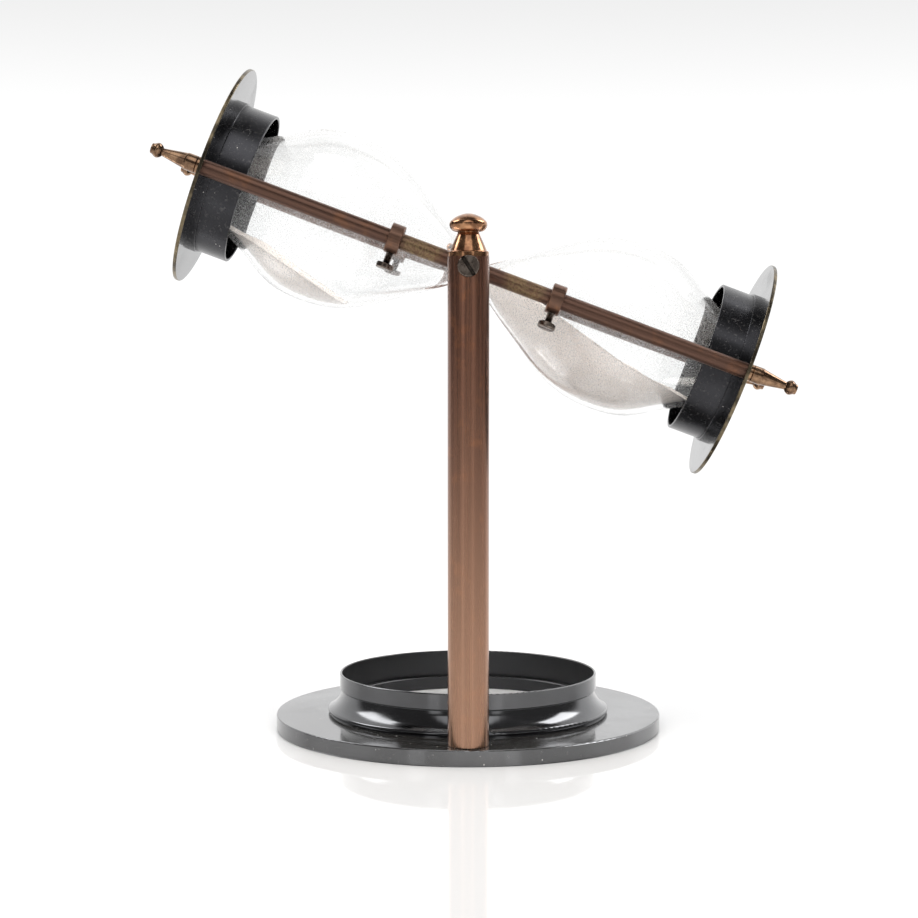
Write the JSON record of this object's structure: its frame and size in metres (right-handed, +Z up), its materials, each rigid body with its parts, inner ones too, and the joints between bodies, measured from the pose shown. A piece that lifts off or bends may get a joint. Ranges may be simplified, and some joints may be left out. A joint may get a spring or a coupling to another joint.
{
  "type": "tilting hourglass",
  "caption": "Hourglass whose glass sits between end discs and rods and turns over on screws between posts on a round open base.",
  "frame": {"origin": "centre of the base's flat underside", "axes": "+Z up, posts on the Y axis and the pivot axis along Y, timer tilted down towards +X"},
  "size_m": [0.258, 0.162, 0.2758],
  "materials": {
    "base_nickel": "polished",
    "collar_nickel": "polished",
    "post_copper": "gloss",
    "knob_copper": "polished",
    "rod_copper": "gloss",
    "finial_copper": "polished",
    "disc_gunmetal": "polished",
    "end_collar_gunmetal": "polished",
    "clear_glass": "gloss",
    "sand": "matte",
    "clamp_copper": "gloss",
    "black_screw": "satin",
    "plain_steel": "satin",
    "plug_rubber": "matte",
    "seat_rubber": "matte",
    "spacer_copper": "gloss"
  },
  "bodies": {
    "stand": {"base_flange": "base_nickel", "base_collar": "collar_nickel", "collar_screw_1": "plain_steel", "collar_screw_2": "plain_steel", "collar_screw_3": "plain_steel", "collar_screw_4": "plain_steel", "front_post": "post_copper", "front_post_finial": "knob_copper", "front_foot_screw": "plain_steel", "rear_post": "post_copper", "rear_post_finial": "knob_copper", "rear_foot_screw": "plain_steel"},
    "timer": {"upper_end_disc": "disc_gunmetal", "lower_end_disc": "disc_gunmetal", "upper_end_collar": "end_collar_gunmetal", "lower_end_collar": "end_collar_gunmetal", "upper_seat_pad": "seat_rubber", "lower_seat_pad": "seat_rubber", "glass_bulb": "clear_glass", "filler_plug": "plug_rubber", "upper_sand": "sand", "lower_sand": "sand", "front_rod": "rod_copper", "front_upper_finial": "finial_copper", "front_lower_finial": "finial_copper", "front_pivot_screw": "black_screw", "front_pivot_spacer": "spacer_copper", "rear_rod": "rod_copper", "rear_upper_finial": "finial_copper", "rear_lower_finial": "finial_copper", "rear_pivot_screw": "black_screw", "rear_pivot_spacer": "spacer_copper"},
    "front_upper_clamp": {"front_upper_clamp": "clamp_copper"},
    "front_upper_thumb_screw": {"front_upper_thumb_screw": "black_screw"},
    "front_lower_clamp": {"front_lower_clamp": "clamp_copper"},
    "front_lower_thumb_screw": {"front_lower_thumb_screw": "black_screw"},
    "rear_upper_clamp": {"rear_upper_clamp": "clamp_copper"},
    "rear_upper_thumb_screw": {"rear_upper_thumb_screw": "black_screw"},
    "rear_lower_clamp": {"rear_lower_clamp": "clamp_copper"},
    "rear_lower_thumb_screw": {"rear_lower_thumb_screw": "black_screw"}
  },
  "joints": [
    {"name": "timer_pivot", "type": "hinge", "parent": "stand", "child": "timer", "pos_m": [0, 0, 0.1914], "axis": [0, 1, 0], "continuous": true},
    {"name": "front_upper_clamp_slide", "type": "slide", "parent": "timer", "child": "front_upper_clamp", "axis": [0.9367, 0, -0.3502], "range_m": [-0.009, 0.0245]},
    {"name": "front_upper_thumb_screw_turn", "type": "hinge", "parent": "front_upper_clamp", "child": "front_upper_thumb_screw", "pos_m": [-0.02912, -0.041, 0.20346], "axis": [-0.3489, -0.0872, -0.9331], "range_deg": [0, 360]},
    {"name": "front_lower_clamp_slide", "type": "slide", "parent": "timer", "child": "front_lower_clamp", "axis": [0.9367, 0, -0.3502], "range_m": [-0.0295, 0.008]},
    {"name": "front_lower_thumb_screw_turn", "type": "hinge", "parent": "front_lower_clamp", "child": "front_lower_thumb_screw", "pos_m": [0.03495, -0.041, 0.17951], "axis": [-0.3398, -0.2419, -0.9088], "range_deg": [0, 360]},
    {"name": "rear_upper_clamp_slide", "type": "slide", "parent": "timer", "child": "rear_upper_clamp", "axis": [0.9367, 0, -0.3502], "range_m": [-0.009, 0.0245]},
    {"name": "rear_upper_thumb_screw_turn", "type": "hinge", "parent": "rear_upper_clamp", "child": "rear_upper_thumb_screw", "pos_m": [-0.02912, 0.041, 0.20346], "axis": [-0.3494, 0.0698, -0.9344], "range_deg": [0, 360]},
    {"name": "rear_lower_clamp_slide", "type": "slide", "parent": "timer", "child": "rear_lower_clamp", "axis": [0.9367, 0, -0.3502], "range_m": [-0.0285, 0.009]},
    {"name": "rear_lower_thumb_screw_turn", "type": "hinge", "parent": "rear_lower_clamp", "child": "rear_lower_thumb_screw", "pos_m": [0.03457, 0.041, 0.17965], "axis": [-0.3483, -0.1045, -0.9315], "range_deg": [0, 360]}
  ]
}
